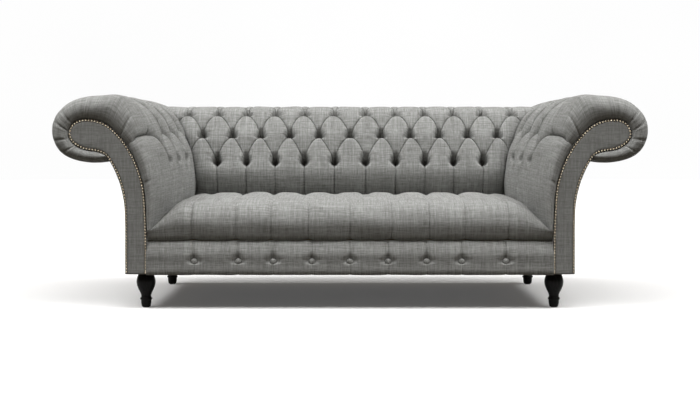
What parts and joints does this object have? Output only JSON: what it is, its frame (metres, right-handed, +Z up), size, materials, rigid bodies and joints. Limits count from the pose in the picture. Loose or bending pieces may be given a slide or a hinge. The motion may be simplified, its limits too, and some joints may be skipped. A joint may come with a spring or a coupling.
{
  "type": "chesterfield sofa",
  "caption": "Three-seat chesterfield sofa with outward scroll arms, a deep-buttoned rolled back, one pleated bench seat and short turned legs.",
  "frame": {"origin": "on the floor, at the middle of the sofa's width and depth", "axes": "+X along the sofa to the right as seen from the front, +Y from the front to the back, +Z up"},
  "size_m": [2.2036, 0.9499, 0.8003],
  "materials": {
    "linen": "slubby grey linen",
    "linen_panel": "grey linen over board",
    "lining": "black lining cloth",
    "hessian": "open jute weave",
    "foam": "open-cell foam",
    "board": "bare ply",
    "timber": "sawn beech",
    "black_wood": "satin black stain",
    "antique_brass": "antiqued",
    "steel": "zinc plated",
    "nylon": "matte"
  },
  "bodies": {
    "root": {"arm_buttons_left": "linen", "arm_buttons_right": "linen", "arm_facing_left": "linen_panel", "arm_facing_right": "linen_panel", "arm_front_post_left": "timber", "arm_front_post_right": "timber", "arm_inner_board_left": "board", "arm_inner_board_right": "board", "arm_outer_panel_left": "linen_panel", "arm_outer_panel_right": "linen_panel", "arm_pad_left": "linen", "arm_pad_right": "linen", "arm_rear_panel_left": "linen_panel", "arm_rear_panel_right": "linen_panel", "arm_rear_post_left": "timber", "arm_rear_post_right": "timber", "arm_stuffing_rail_left": "timber", "arm_stuffing_rail_right": "timber", "arm_top_rail_left": "timber", "arm_top_rail_right": "timber", "back_bolts": "steel", "back_buttons": "linen", "back_end_rib_left": "timber", "back_end_rib_right": "timber", "back_inner_board": "board", "back_mid_rib_left": "timber", "back_mid_rib_right": "timber", "back_pad": "linen", "back_stuffing_rail": "timber", "back_top_rail": "timber", "border_buttons": "linen", "corner_block_front_left": "timber", "corner_block_front_right": "timber", "corner_block_rear_left": "timber", "corner_block_rear_right": "timber", "cross_rail_left": "timber", "cross_rail_right": "timber", "dust_cover": "lining", "facing_nails_left": "antique_brass", "facing_nails_right": "antique_brass", "frame_dowels": "timber", "front_border": "linen", "front_rail": "timber", "leg_bolts": "steel", "leg_front_left": "black_wood", "leg_front_right": "black_wood", "leg_glides": "nylon", "leg_rear_left": "black_wood", "leg_rear_right": "black_wood", "leg_tee_nuts": "steel", "outside_back_panel": "linen_panel", "rear_rail": "timber", "seat_back_rail": "timber", "seat_core": "foam", "seat_hessian": "hessian", "seat_pad": "linen", "seat_springs": "steel", "side_rail_left": "timber", "side_rail_right": "timber", "spring_clips": "steel"}
  },
  "joints": []
}
